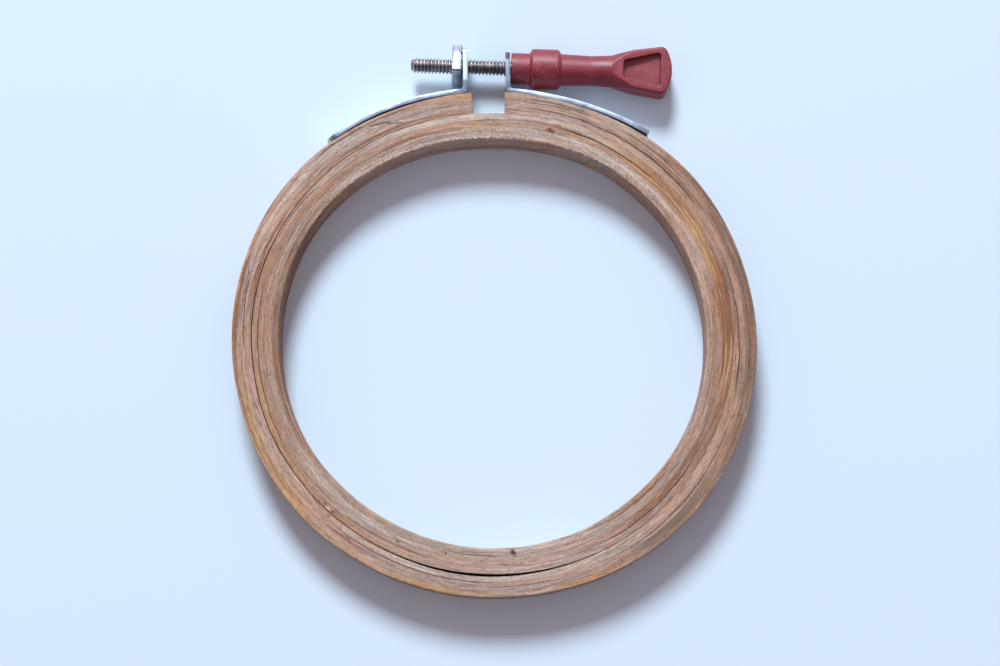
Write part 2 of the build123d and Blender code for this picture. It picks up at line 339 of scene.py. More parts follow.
def grain_line_group():
    """A thin dark line from one place on the ring to another, fading out at both ends."""
    group, enter, leave = new_group(
        "grain_line",
        {"Turn": 0.0, "Radius": 50.0, "Grain": None, "From Turn": 0.0, "To Turn": 10.0,
         "From Radius": 50.0, "To Radius": 50.0, "Width": 0.12},
        ["Mask"],
    )
    span = less(group, enter["To Turn"], enter["From Turn"])
    along = calc(group, "DIVIDE", less(group, enter["Turn"], enter["From Turn"]), span)
    rise = less(group, enter["To Radius"], enter["From Radius"])
    middle = times_plus(group, along, rise, enter["From Radius"])
    slow = noise(group, enter["Grain"], (0.22, 0.0, 0.1))
    rough = noise(group, enter["Grain"], (1.6, 1.1, 0.6))
    middle = times_plus(group, less(group, slow, 0.5), 0.35, middle)
    off = calc(group, "ABSOLUTE", less(group, enter["Radius"], middle))
    width = times(group, enter["Width"], times_plus(group, rough, 1.9, 0.15))
    mask = fade(group, calc(group, "DIVIDE", off, width), 1.0, 0.15)
    mask = times(group, mask, fade(group, along, 0.0, 0.22))
    group.links.new(times(group, mask, fade(group, along, 1.0, 0.78)), leave["Mask"])
    return group


def metal_wear_group():
    """Scratches, dull patches and tarnish on bright metal."""
    group, enter, leave = new_group("metal_wear", {"Place": None}, ["Scratch", "Dull", "Tarnish"])
    place = enter["Place"]
    dull = even_noise(group, place, 420.0, 4.0, 0.6)
    tarnish = even_noise(group, place, 1100.0, 3.0, 0.7)
    fill(group, leave, {
        "Scratch": noise(group, place, (900.0, 900.0, 5000.0), detail=3.0, roughness=0.6),
        "Dull": fade(group, dull, 0.4, 0.68),
        "Tarnish": fade(group, tarnish, 0.55, 0.72),
    })
    return group


def thread_root_group():
    """How deep a point lies between the crest and the root of a thread."""
    group, enter, leave = new_group(
        "thread_root",
        {"Place": None, "On Axis": None, "Along Axis": None, "Crest Radius": 0.00175,
         "Root Radius": 0.00126},
        ["Root"],
    )
    off = vector_calc(group, "SUBTRACT", enter["Place"], enter["On Axis"])[0]
    sweep = vector_calc(group, "CROSS_PRODUCT", off, enter["Along Axis"])[0]
    reach = vector_calc(group, "LENGTH", sweep)["Value"]
    group.links.new(fade(group, reach, enter["Crest Radius"], enter["Root Radius"]), leave["Root"])
    return group


WOOD_FIGURE = wood_figure_group()
GLUE_LINE = glue_line_group()
WOOD_MARK = wood_mark_group()
GRAIN_LINE = grain_line_group()
METAL_WEAR = metal_wear_group()
THREAD_ROOT = thread_root_group()


# Wood of each ply
TONES = {
    "sand": linear(185, 157, 134),
    "rose": linear(188, 162, 147),
    "ash": linear(178, 162, 148),
    "pale": linear(198, 184, 169),
    "honey": linear(190, 153, 108),
    "tan": linear(170, 139, 117),
    "rust": linear(150, 99, 64),
    "umber": linear(139, 110, 88),
}

# Tone of each ply at bearings round the ring, clockwise from the clamp
PLY_TONES = {
    "inner_ring_ply_1": ((0, "pale"), (30, "pale"), (52, "sand"), (75, "sand"), (100, "rose"),
                         (135, "tan"), (158, "pale"), (180, "pale"), (205, "ash"), (240, "tan"),
                         (275, "umber"), (300, "umber"), (330, "pale")),
    "inner_ring_ply_2": ((0, "pale"), (48, "pale"), (62, "pale"), (78, "tan"), (100, "tan"),
                         (130, "ash"), (160, "ash"), (195, "ash"), (222, "pale"), (250, "ash"),
                         (280, "tan"), (300, "ash"), (330, "ash")),
    "inner_ring_ply_3": ((0, "sand"), (18, "tan"), (32, "sand"), (48, "honey"), (70, "honey"),
                         (86, "rust"), (100, "tan"), (118, "umber"), (135, "rust"), (155, "rose"),
                         (185, "rose"), (220, "ash"), (250, "tan"), (280, "tan"), (315, "tan"),
                         (335, "sand")),
    "inner_ring_ply_4": ((0, "pale"), (22, "pale"), (38, "honey"), (50, "rust"), (62, "honey"),
                         (78, "rust"), (92, "rust"), (106, "rust"), (122, "tan"), (142, "rose"),
                         (165, "pale"), (185, "rose"), (205, "sand"), (225, "tan"), (250, "honey"),
                         (275, "tan"), (295, "tan"), (315, "rose"), (340, "pale")),
    "outer_ring_ply_1": ((0, "tan"), (12, "rose"), (22, "rose"), (45, "sand"), (60, "tan"),
                         (75, "umber"), (92, "tan"), (110, "sand"), (130, "rose"), (165, "pale"),
                         (195, "pale"), (222, "rose"), (250, "rose"), (275, "tan"), (288, "umber"),
                         (305, "tan"), (330, "tan"), (350, "tan")),
    "outer_ring_ply_2": ((0, "rose"), (15, "ash"), (35, "tan"), (48, "umber"), (62, "tan"),
                         (105, "tan"), (130, "tan"), (145, "ash"), (165, "rose"), (190, "ash"),
                         (215, "rose"), (232, "sand"), (270, "rose"), (300, "sand"), (325, "ash")),
    "outer_ring_ply_3": ((0, "sand"), (15, "ash"), (35, "sand"), (48, "tan"), (65, "umber"),
                         (95, "umber"), (115, "tan"), (130, "umber"), (148, "tan"), (165, "ash"),
                         (195, "ash"), (222, "sand"), (235, "honey"), (250, "honey"), (265, "sand"),
                         (285, "rose"), (310, "pale"), (340, "ash")),
    "outer_ring_ply_4": ((0, "honey"), (10, "sand"), (22, "ash"), (38, "rose"), (50, "umber"),
                         (80, "umber"), (100, "umber"), (125, "umber"), (148, "tan"), (160, "honey"),
                         (178, "ash"), (195, "honey"), (215, "sand"), (232, "honey"), (250, "honey"),
                         (264, "tan"), (280, "rust"), (296, "sand"), (318, "rose"), (345, "sand")),
}

# Knots, nicks and stains of a ply: bearing, radius, length, width, how strong, colour
WOOD_MARKS = {
    "inner_ring_ply_1": (
        (175.3, 46.3, 0.75, 0.9, 0.95, linear(72, 44, 40)),
    ),
    "inner_ring_ply_2": (
        (175.0, 46.9, 0.55, 0.5, 0.7, linear(84, 56, 50)),
        (193.2, 47.4, 0.25, 0.8, 0.8, linear(92, 78, 66)),
    ),
    "inner_ring_ply_3": (
        (16.2, 48.35, 1.3, 0.55, 0.9, linear(112, 52, 42)),
        (206.0, 48.25, 0.6, 0.45, 0.7, linear(96, 82, 68)),
        (201.5, 48.2, 0.35, 0.3, 0.5, linear(110, 90, 74)),
    ),
    "inner_ring_ply_4": (
        (17.5, 49.6, 1.6, 0.5, 0.4, linear(150, 84, 58)),
        (225.2, 50.45, 0.75, 0.45, 0.9, linear(206, 186, 166)),
        (223.6, 50.3, 0.5, 0.4, 0.8, linear(92, 62, 48)),
        (226.6, 50.2, 0.6, 0.35, 0.7, linear(96, 66, 50)),
        (307.3, 50.4, 0.9, 0.3, 0.7, linear(120, 62, 50)),
    ),
    "outer_ring_ply_1": (
        (224.0, 51.5, 1.0, 0.35, 0.5, linear(110, 76, 62)),
        (300.5, 51.5, 1.5, 0.35, 0.55, linear(140, 70, 56)),
    ),
    "outer_ring_ply_2": (
        (218.0, 52.7, 2.6, 0.3, 0.5, linear(132, 78, 78)),
    ),
    "outer_ring_ply_3": (
        (278.0, 53.9, 3.6, 0.16, 0.7, linear(98, 62, 50)),
        (44.0, 54.0, 2.8, 0.22, 0.6, linear(92, 60, 56)),
    ),
    "outer_ring_ply_4": (
        (220.5, 54.6, 1.7, 0.25, 0.55, linear(140, 80, 60)),
    ),
}

UMBER_LINE = linear(70, 46, 36)

# Dark lines in the grain of a ply: from and to bearing, radius at each, width, how strong, colour
GRAIN_LINES = {
    "inner_ring_ply_1": (
        (126, 152, 46.5, 46.3, 0.36, 0.78, linear(132, 86, 60)),
        (240, 268, 46.1, 46.0, 0.24, 0.78, linear(98, 68, 56)),
    ),
    "inner_ring_ply_2": (
        (178, 194, 46.85, 46.9, 0.14, 0.97, linear(72, 58, 50)),
        (304, 356, 47.8, 47.75, 0.17, 0.78, linear(126, 84, 62)),
    ),
    "inner_ring_ply_3": (
        (16, 50, 49.2, 49.3, 0.24, 0.97, linear(44, 28, 24)),
        (36, 62, 48.3, 48.7, 0.3, 0.65, linear(150, 96, 62)),
        (92, 108, 49.3, 48.8, 0.19, 0.78, linear(198, 152, 120)),
        (72, 104, 48.9, 48.6, 0.36, 0.65, linear(126, 78, 46)),
        (190, 222, 49.0, 49.2, 0.17, 0.59, UMBER_LINE),
        (300, 350, 48.5, 48.3, 0.26, 0.52, linear(150, 100, 66)),
    ),
    "inner_ring_ply_4": (
        (4, 30, 49.6, 49.55, 0.14, 0.6, linear(112, 64, 46)),
        (60, 92, 50.5, 50.2, 0.19, 0.78, linear(112, 66, 42)),
        (88, 106, 50.5, 49.6, 0.24, 0.91, linear(204, 162, 130)),
        (118, 158, 49.55, 49.5, 0.18, 0.97, linear(60, 38, 32)),
        (238, 292, 49.6, 49.55, 0.19, 0.97, linear(112, 70, 48)),
        (296, 312, 50.3, 50.5, 0.19, 0.65, linear(130, 74, 58)),
    ),
    "outer_ring_ply_1": (
        (68, 106, 52.0, 52.05, 0.14, 0.97, UMBER_LINE),
        (284, 306, 51.4, 51.9, 0.19, 0.72, linear(128, 72, 60)),
        (318, 352, 51.7, 51.8, 0.14, 0.78, UMBER_LINE),
    ),
    "outer_ring_ply_2": (
        (4, 62, 52.55, 52.35, 0.19, 0.97, UMBER_LINE),
        (104, 160, 52.5, 52.75, 0.17, 0.72, UMBER_LINE),
        (176, 228, 52.3, 52.25, 0.16, 0.78, UMBER_LINE),
        (210, 224, 52.9, 53.1, 0.36, 0.59, linear(146, 88, 84)),
        (268, 288, 52.4, 53.1, 0.19, 0.91, UMBER_LINE),
        (335, 340, 53.2, 52.15, 0.17, 0.91, UMBER_LINE),
    ),
    "outer_ring_ply_3": (
        (6, 26, 53.6, 54.1, 0.19, 0.78, linear(96, 84, 84)),
        (30, 52, 54.05, 53.5, 0.17, 0.65, UMBER_LINE),
        (66, 118, 53.9, 53.8, 0.36, 0.59, linear(98, 80, 66)),
        (124, 148, 53.6, 54.0, 0.54, 0.59, linear(112, 112, 104)),
        (276, 290, 53.2, 53.7, 0.19, 0.78, UMBER_LINE),
        (331, 337, 54.2, 53.2, 0.17, 0.91, UMBER_LINE),
    ),
    "outer_ring_ply_4": (
        (8, 24, 54.4, 54.35, 0.24, 0.91, linear(96, 84, 84)),
        (60, 92, 54.6, 54.8, 0.26, 0.65, linear(106, 88, 66)),
        (122, 144, 54.4, 54.6, 0.42, 0.59, linear(112, 112, 104)),
        (238, 300, 54.75, 54.6, 0.22, 0.85, linear(140, 92, 56)),
        (314, 346, 54.55, 54.65, 0.17, 0.91, UMBER_LINE),
    ),
}

# Stains of the wood's figure and of the glue: output, how strong, colour
FIGURE_STAINS = (
    ("Dark Sliver", 0.68, linear(104, 70, 52)),
    ("Pale Sliver", 0.52, linear(212, 190, 170)),
    ("Line", 0.8, linear(92, 60, 44)),
    ("Pore", 0.34, linear(98, 72, 60)),
)
GLUE_STAINS = (
    ("Halo", 0.22, linear(146, 104, 80)),
    ("Line", 0.5, linear(84, 60, 50)),
)

# Plies with torn fibres near the clamp, and where these fade in, as cosines of the bearing
TORN_PLIES = ("inner_ring_ply_1", "inner_ring_ply_2")
TORN_SPAN = (0.45, 0.75)

# Painted shade on the wood behind the straps, where the narrow gap to the strap lies in shadow: cosines of
# the bearing at its ends, and heights at its top
STRAP_PAINTED_SHADE_SPAN = (0.782, 0.79)
STRAP_PAINTED_SHADE_TOP = (RING_HEIGHT - 0.06, RING_HEIGHT - 0.3)


def ply_tones(tree, name, share):
    """Tones of one ply, laid out along the ring by a share of the turn."""
    ramp = node(tree, "ShaderNodeValToRGB", {"Fac": share})
    stops = PLY_TONES[name]
    for element in ramp.color_ramp.elements:
        element.color = TONES[stops[0][1]]
    for degrees, tone in stops[1:]:
        ramp.color_ramp.elements.new(degrees / 360).color = TONES[tone]
    return ramp.outputs["Color"]


def shared_streaks(tree, colour, angle, radius, patch):
    """Streaks that run on from ply to ply, so that the plies don't read as painted bands."""
    size_round, size_across = 4.6, 0.95
    place = joined(
        tree,
        times(tree, calc(tree, "SINE", angle), size_round),
        times(tree, calc(tree, "COSINE", angle), size_round),
        times(tree, radius, size_across),
    )
    shared = even_noise(tree, place, 1.0, 3.0, 0.6)
    colour = blend_colours(tree, fade(tree, shared, 0.52, 0.7, 0.0, 0.45), colour, linear(190, 142, 106))
    colour = blend_colours(tree, fade(tree, shared, 0.46, 0.3, 0.0, 0.40), colour, linear(178, 168, 162))
    return blend_colours(tree, fade(tree, patch, 0.5, 0.75, 0.0, 0.30), colour, linear(186, 134, 98))


def placed_marks(tree, name, colour, turn, radius, grain):
    """Dark grain lines, knots, nicks and stains of one ply, each at its own place."""
    here = {"Turn": turn, "Radius": radius, "Grain": grain}
    for first, last, first_radius, last_radius, width, strength, stain in GRAIN_LINES[name]:
        line = place_group(tree, GRAIN_LINE, **here, From_Turn=first, To_Turn=last,
                           From_Radius=first_radius, To_Radius=last_radius, Width=width)
        colour = stained(tree, colour, line["Mask"], strength, stain)
    for degrees, mark_radius, length, width, strength, stain in WOOD_MARKS.get(name, ()):
        mark = place_group(tree, WOOD_MARK, **here, At_Turn=degrees, At_Radius=mark_radius, Length=length,
                           Width=width)
        colour = stained(tree, colour, mark["Mask"], strength, stain)
    return colour


def ply_wood(name, number, inner_radius, thickness, glue_width, inner_side, outer_side):
    """Bare wood of one ply, its tones laid out along the ring."""
    material, tree, shader = new_material(f"{name}_wood")
    grain = node(tree, "ShaderNodeAttribute", attribute_name="grain").outputs["Vector"]
    across = node(tree, "ShaderNodeAttribute", attribute_name="across").outputs["Fac"]
    bearing = node(tree, "ShaderNodeAttribute", attribute_name="bearing").outputs["Fac"]
    bearing = calc(tree, "FRACT", bearing)
    turn = times(tree, bearing, 360.0)
    angle = calc(tree, "RADIANS", turn)
    clamp_side = calc(tree, "COSINE", angle)
    radius = times_plus(tree, across, thickness, inner_radius)
    figure = place_group(tree, WOOD_FIGURE, Grain=grain, Seed=number * 11.3, Drift=1.6, Line_Spacing=1.15)
    glue = place_group(tree, GLUE_LINE, Grain=grain, Across=across, Thickness=thickness, Width=glue_width,
                       Inner_Side=inner_side, Outer_Side=outer_side, Seed=number * 5.9)
    streak, fibre, saw_mark = figure["Streak"], figure["Fibre"], figure["Saw Mark"]

    ragged = times_plus(tree, less(tree, streak, 0.5), 0.09, bearing)
    ragged = times_plus(tree, less(tree, figure["Patch"], 0.5), 0.05, ragged)
    tones = ply_tones(tree, name, calc(tree, "FRACT", ragged))
    colour = blend_colours(tree, 0.08, tones, linear(172, 147, 134))
    colour = shared_streaks(tree, colour, angle, radius, figure["Patch"])

    light = fade(tree, streak, 0.28, 0.74, 0.74, 1.24)
    light = times(tree, light, fade(tree, fibre, 0.28, 0.72, 0.82, 1.18))
    light = times(tree, light, fade(tree, saw_mark, 0.3, 0.7, 0.90, 1.10))
    height = times_plus(tree, fibre, 0.5, times(tree, streak, 0.3))
    height = times_plus(tree, saw_mark, 0.5, height)
    height = times_plus(tree, figure["Pore"], -0.5, height)
    height = times_plus(tree, glue["Line"], -0.6, height)
    if name in TORN_PLIES:
        torn = fade(tree, clamp_side, *TORN_SPAN)
        rough = less(tree, fade(tree, figure["Fuzz"], 0.35, 0.65, 0.74, 1.18), 1.0)
        light = times(tree, light, times_plus(tree, torn, rough, 1.0))
        height = times_plus(tree, times(tree, figure["Fuzz"], torn), 1.6, height)
    grey = node(tree, "ShaderNodeCombineColor", {0: light, 1: light, 2: light}).outputs[0]
    colour = blend_colours(tree, 1.0, colour, grey, "MULTIPLY")

    for label, strength, stain in FIGURE_STAINS:
        colour = stained(tree, colour, figure[label], strength, stain)
    for label, strength, stain in GLUE_STAINS:
        colour = stained(tree, colour, glue[label], strength, stain)
    if name == "outer_ring_ply_4":
        # Painted shade on the outer wall behind the straps, standing in for the shadow in the gap
        height_up = node(tree, "ShaderNodeSeparateXYZ", {0: grain}).outputs[2]
        painted_strap_shade = times(tree, fade(tree, clamp_side, *STRAP_PAINTED_SHADE_SPAN),
                     fade(tree, height_up, *STRAP_PAINTED_SHADE_TOP))
        colour = stained(tree, colour, painted_strap_shade, 0.9, linear(40, 30, 28))
    colour = placed_marks(tree, name, colour, turn, radius, grain)
    roughness = fade(tree, fibre, 0.2, 0.8, 0.68, 0.86)
    fill(tree, shader.inputs, {"Base Color": colour, "Roughness": roughness, "Specular IOR Level": 0.45})
    add_relief(tree, shader, height, 0.8, 0.14 * MM)
    return material


# Shape of the ring plies
def smooth_wave(bearing, terms):
    """Sum of waves round the ring: (how many, size in millimetres, bearing of the crest)."""
    total = np.zeros_like(bearing)
    for count, size, crest in terms:
        total += size * np.cos(count * (bearing - math.radians(crest)))
    return total


def round_curve(bearing, points):
    """Smooth closed curve through (bearing, value) pairs."""
    at = np.radians([p[0] for p in points])
    at = np.concatenate([at - 2 * math.pi, at, at + 2 * math.pi])
    value = np.tile([p[1] for p in points], 3)
    turn = np.mod(bearing, 2 * math.pi)
    index = np.clip(np.searchsorted(at, turn) - 1, 1, len(at) - 3)
    span = at[index + 1] - at[index]
    share = (turn - at[index]) / span
    slope = (value[2:] - value[:-2]) / (at[2:] - at[:-2])
    a, b = value[index], value[index + 1]
    c, d = slope[index - 1] * span, slope[index] * span
    return ((2 * a + c - 2 * b + d) * share + (3 * b - 3 * a - 2 * c - d)) * share**2 + c * share + a


# How far the bore, the joint between the rings and the rim of the slightly oval hoop stray from round
BORE_STRAY = ((0, -0.7), (15, -0.3), (30, 0.3), (45, 0.6), (60, 0.9), (90, 0.8), (110, 0.5),
              (130, -0.2), (155, -0.7), (180, -1.1), (205, -1.1), (230, -0.6), (250, 0.1), (270, 0.5),
              (300, 1.2), (320, 0.75), (335, 0.1), (348, -0.35))
MEET_STRAY = ((0, -0.6), (15, -0.3), (30, 0.15), (50, 0.6), (70, 1.0), (90, 0.9), (105, 0.65),
              (120, 0.3), (135, -0.05), (150, -0.4), (165, -0.85), (180, -1.2), (195, -1.2),
              (210, -1.05), (222, -0.7), (235, -0.35), (250, 0.2), (265, 0.45), (280, 0.9), (295, 1.05),
              (310, 0.75), (320, 0.55), (330, 0.15), (345, -0.35))
RIM_STRAY = ((0, 0.0), (15, 0.0), (30, 0.55), (38, 0.95), (50, 1.4), (60, 1.45), (75, 1.35), (90, 1.4),
             (120, 1.25), (135, 0.7), (150, 0.05), (165, -0.65), (180, -1.1), (195, -1.1), (210, -0.9),
             (225, -0.45), (240, -0.2), (255, 0.0), (265, 0.35), (280, 0.75), (290, 1.0), (300, 1.2),
             (310, 1.25), (320, 1.1), (330, 0.6), (340, 0.15), (348, 0.0))

# Gap between the rings
MEET_GAP = ((0, 0.02), (40, 0.005), (60, 0.005), (75, 0.05), (110, 0.06), (150, 0.10), (165, 0.3),
            (180, 0.58), (190, 0.52), (205, 0.26), (218, 0.16), (230, 0.15), (245, 0.18), (270, 0.20),
            (300, 0.18), (325, 0.14), (340, 0.09), (350, 0.04))


def stray_between(bearing, share, first, last):
    """Stray from round at a share of the way from one edge to another."""
    return (1 - share) * round_curve(bearing, first) + share * round_curve(bearing, last)


# Waves of each glue line: how many round the ring, size and bearing of a crest
INNER_WAVES = (
    ((5, 0.05, 40),),
    ((3, 0.10, 70), (7, 0.06, 15), (11, 0.03, 0)),
    ((2, 0.10, 110), (6, 0.06, 35), (13, 0.03, 9)),
    ((4, 0.09, 10), (9, 0.05, 22)),
    ((5, 0.03, 60),),
)

# The same for the outer ring, whose first line follows the inner ring
OUTER_WAVES = (
    ((3, 0.09, 30), (8, 0.05, 12)),
    ((2, 0.10, 80), (7, 0.06, 30), (12, 0.03, 6)),
    ((4, 0.09, 50), (9, 0.06, 18)),
    ((7, 0.03, 40),),
)


def wavy_line(radius, share, first, last, waves):
    """Glue line as a function of the bearing, at a share of the way from one edge to another."""
    return lambda bearing: radius + stray_between(bearing, share, first, last) + smooth_wave(bearing, waves)


def inner_line(index):
    """Glue line of the inner ring, or its bore or its rim."""
    return wavy_line(INNER_BOUNDARIES[index], index / PLY_COUNT, BORE_STRAY, MEET_STRAY, INNER_WAVES[index])


def outer_bore(bearing):
    """Bore of the outer ring, seen from the ring's own centre."""
    gap = round_curve(bearing, MEET_GAP)
    return inner_line(PLY_COUNT)(bearing) + gap - OUTER_CENTRE[1] * np.cos(bearing)


def outer_line(index):
    """Glue line of the outer ring, or its bore or its rim."""
    if index == 0:
        return outer_bore
    waves = OUTER_WAVES[index - 1]
    return wavy_line(OUTER_BOUNDARIES[index], index / PLY_COUNT, MEET_STRAY, RIM_STRAY, waves)


# Corner radii of the plies in millimetres: between plies, beside the gap, at the bore and at the rim
EASED = 0.02
GAP_ROUND = 0.04
BORE_ROUND = 0.35
RIM_ROUND = 0.13


def ply_profile(low_inner, low_outer, high_outer, high_inner):
    """Corner-rounded section of a ply: share across, offset across and height, both in millimetres."""
    flat_margin = 0.04
    points = []
    corners = (
        (0.0, 1, 0.0, 1, low_inner, 180, 270),
        (1.0, -1, 0.0, 1, low_outer, 270, 360),
        (1.0, -1, RING_HEIGHT, -1, high_outer, 0, 90),
        (0.0, 1, RING_HEIGHT, -1, high_inner, 90, 180),
    )
    for share, across_sign, level, up_sign, radius, first, last in corners:
        steps = 6 if radius > 0.2 else 2
        arc = []
        for step in range(steps + 1):
            angle = math.radians(first + (last - first) * step / steps)
            offset = across_sign * radius + radius * math.cos(angle)
            height = level + up_sign * radius + radius * math.sin(angle)
            arc.append((share, offset, height))
        beside = (share, across_sign * (radius + flat_margin), level)
        above = (share, 0.0, level + up_sign * (radius + flat_margin))
        before, after = (beside, above) if first in (90, 270) else (above, beside)
        points += [before, *arc, after]
    return points


def strip_faces(stations, count):
    """Faces of a strip of equal sections, with both ends closed."""
    faces = []
    for station in range(stations):
        here, ahead = station * count, (station + 1) * count
        for step in range(count):
            following = (step + 1) % count
            faces.append((here + step, ahead + step, ahead + following, here + following))
    faces.append(tuple(range(count)))
    faces.append(tuple(reversed(range(stations * count, (stations + 1) * count))))
    return faces


def ring_ply(name, centre, radii, sides, joint_bearing, joint_half, profile, fuzz=None):
    """Closed mesh of one ply, from one end of its strip to the other."""
    stations = 1260
    share, offset, height = np.array(profile).T
    joint = math.radians(joint_bearing)
    end = np.arcsin(joint_half / (radii[0] + share * (radii[1] - radii[0]) + offset))[None, :]
    travel = np.linspace(0.0, 1.0, stations + 1)[:, None]
    bearing = joint + end + travel * (2 * math.pi - 2 * end)
    inner_edge, outer_edge = sides[0](bearing), sides[1](bearing)
    if fuzz is not None:
        inner_edge = inner_edge + fuzz(bearing, height[None, :])
    width = outer_edge - inner_edge
    reach = inner_edge + share * width + offset
    level = np.broadcast_to(height, reach.shape)
    points = np.stack([centre[0] + reach * np.sin(bearing), centre[1] + reach * np.cos(bearing), level], -1)
    grain = np.stack([(bearing - joint) * (radii[0] + radii[1]) / 2, reach - inner_edge, level], -1)
    across = np.clip((reach - inner_edge) / width, 0.0, 1.0)

    mesh = bpy.data.meshes.new(name)
    mesh.from_pydata((points.reshape(-1, 3) * MM).tolist(), [], strip_faces(stations, len(profile)))
    mesh.update()
    attribute = mesh.attributes.new("grain", "FLOAT_VECTOR", "POINT")
    attribute.data.foreach_set("vector", grain.reshape(-1).astype(np.float32))
    for label, data in (("across", across), ("bearing", bearing / (2 * math.pi))):
        attribute = mesh.attributes.new(label, "FLOAT", "POINT")
        attribute.data.foreach_set("value", np.ascontiguousarray(data, dtype=np.float32).reshape(-1))
    smooth_between(mesh, 50)
    return in_scene(name, mesh)


def torn_fibres(bearing, height):
    """Rough, fibrous inner edge near the clamp, at the top of the innermost ply."""
    near = np.clip(np.cos(bearing) * 2.8 - 1.55, 0.0, 1.0)
    high = np.clip((height - RING_HEIGHT + 1.6) / 1.2, 0.0, 1.0)
    ragged = 0.07 * np.sin(bearing * 61 + 5.0 * np.sin(bearing * 17))
    ragged += 0.08 * np.sin(bearing * 149 + 4.0 * np.sin(bearing * 37))
    ragged += 0.07 * np.sin(bearing * 331 + 3.0 * np.sin(bearing * 53))
    return near * ragged * high


def glued_sides(index):
    """Whether a ply is glued on its inner side and on its outer side, as numbers."""
    return float(index > 0), float(index < PLY_COUNT - 1)


def inner_ring():
    """Four closed plies, each with a butt joint of its own."""
    for index in range(PLY_COUNT):
        name = f"inner_ring_ply_{index + 1}"
        bore_round = BORE_ROUND if index == 0 else EASED
        rim_round = GAP_ROUND if index == PLY_COUNT - 1 else EASED
        profile = ply_profile(EASED, rim_round, rim_round, bore_round)
        sides = inner_line(index), inner_line(index + 1)
        piece = ring_ply(f"{name}_strip", (0.0, 0.0), INNER_BOUNDARIES[index:index + 2], sides,
                         JOINT_BEARINGS[index], JOINT_HALF, profile, torn_fibres if index == 0 else None)
        wood = ply_wood(name, index + 1, INNER_BOUNDARIES[index], INNER_PLY, INNER_GLUE, *glued_sides(index))
        piece.data.materials.append(wood)
        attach(piece, "inner_ring")
        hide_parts(name)


def outer_ring():
    """Four plies split at the clamp."""
    for index in range(PLY_COUNT):
        name = f"outer_ring_ply_{index + 1}"
        bore_round = GAP_ROUND if index == 0 else EASED
        rim_round = RIM_ROUND if index == PLY_COUNT - 1 else EASED
        profile = ply_profile(bore_round, rim_round, rim_round, bore_round)
        sides = outer_line(index), outer_line(index + 1)
        piece = ring_ply(f"{name}_strip", OUTER_CENTRE, OUTER_BOUNDARIES[index:index + 2], sides,
                         0.0, SPLIT_HALF, profile)
        number = index + 1 + PLY_COUNT
        wood = ply_wood(name, number, OUTER_BOUNDARIES[index], OUTER_PLY, OUTER_GLUE, *glued_sides(index))
        piece.data.materials.append(wood)
        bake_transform(piece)
        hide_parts(name)


# Where the clamp's steel changes its look, in metres: a band has four limits, an edge has two
STRAP_LOW, STRAP_HIGH = (corner.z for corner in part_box("left_bracket"))
STRAP_FACE = (STRAP_LOW + 0.15 * MM, STRAP_LOW + 0.45 * MM, STRAP_HIGH - 0.45 * MM, STRAP_HIGH - 0.15 * MM)
STRAP_BEND = (55.6 * MM, 56.2 * MM, 57.6 * MM, 58.4 * MM)
BEND_REACH = (7.8 * MM, 6.2 * MM)
LUG_START = (57.4 * MM, 58.6 * MM)
TORN_EDGE = (62.2 * MM, 62.9 * MM)
THREAD_CREST_RADIUS = 1.7 * MM
THREAD_ROOT_RADIUS = 1.32 * MM
SCRATCH_DEPTH = 0.02 * MM


def strap_painted_light(tree, colour, place, painted_lug_tone):
    """Painted light on a strap: painted sheen on the faces between its edges, which stay darker as painted
    shade, painted shade on the bend, and a painted tone on the lug for how it catches the light.
    """
    x, y, z = node(tree, "ShaderNodeSeparateXYZ", {0: place}).outputs
    # Painted sheen on the faces between the strap's edges, which stay darker as painted shade
    colour = stained(tree, colour, band(tree, z, STRAP_FACE), 0.8, linear(206, 210, 214))
    # The lug painted in a tone of its own for how it catches the light
    colour = stained(tree, colour, fade(tree, y, *LUG_START), 0.85, painted_lug_tone)
    # Painted shade on the bend up to the lug
    near = fade(tree, calc(tree, "ABSOLUTE", x), *BEND_REACH)
    bend = times(tree, band(tree, y, STRAP_BEND), near)
    return stained(tree, colour, bend, 0.6, linear(70, 78, 92))


def torn_rust(tree, place):
    """Rust along the ragged edge where the right lug is torn off."""
    ragged = less(tree, even_noise(tree, place, 1500.0, 3.0, 0.7), 0.5)
    height = node(tree, "ShaderNodeSeparateXYZ", {0: place}).outputs[1]
    return fade(tree, times_plus(tree, ragged, 1.2 * MM, height), *TORN_EDGE)


def steel(name, colour, roughness, tarnish, tarnish_share, painted_lug_tone=None, torn=False, threaded=False):
    """Plated or rolled steel with fine scratches, dull patches and tarnish, and painted sheen and shade on a
    strap.
    """
    material, tree, shader = new_material(name)
    place = node(tree, "ShaderNodeTexCoord").outputs["Object"]
    wear = place_group(tree, METAL_WEAR, Place=place)
    colour = stained(tree, colour, wear["Dull"], 0.6, linear(112, 120, 134))
    colour = stained(tree, colour, wear["Tarnish"], tarnish_share, tarnish)
    metallic = 1.0
    if threaded:
        thread = place_group(tree, THREAD_ROOT, Place=place, On_Axis=SCREW_POINT * MM, Along_Axis=SCREW_LINE,
                             Crest_Radius=THREAD_CREST_RADIUS, Root_Radius=THREAD_ROOT_RADIUS)
        colour = stained(tree, colour, thread["Root"], 0.75, tarnish)
    if painted_lug_tone is not None:
        colour = strap_painted_light(tree, colour, place, painted_lug_tone)
    if torn:
        rust = torn_rust(tree, place)
        colour = stained(tree, colour, rust, 0.95, linear(74, 50, 48))
        metallic = times_plus(tree, rust, -0.6, 1.0)
    roughness = fade(tree, wear["Scratch"], 0.2, 0.8, *roughness)
    fill(tree, shader.inputs, {"Base Color": colour, "Metallic": metallic, "Roughness": roughness})
    add_relief(tree, shader, wear["Scratch"], 0.5, SCRATCH_DEPTH)
    return material


# Moulded plastic of the handle, with its collar's four limits along the screw
COLLAR_SPAN = (8.8 * MM, 9.8 * MM, 15.6 * MM, 16.6 * MM)


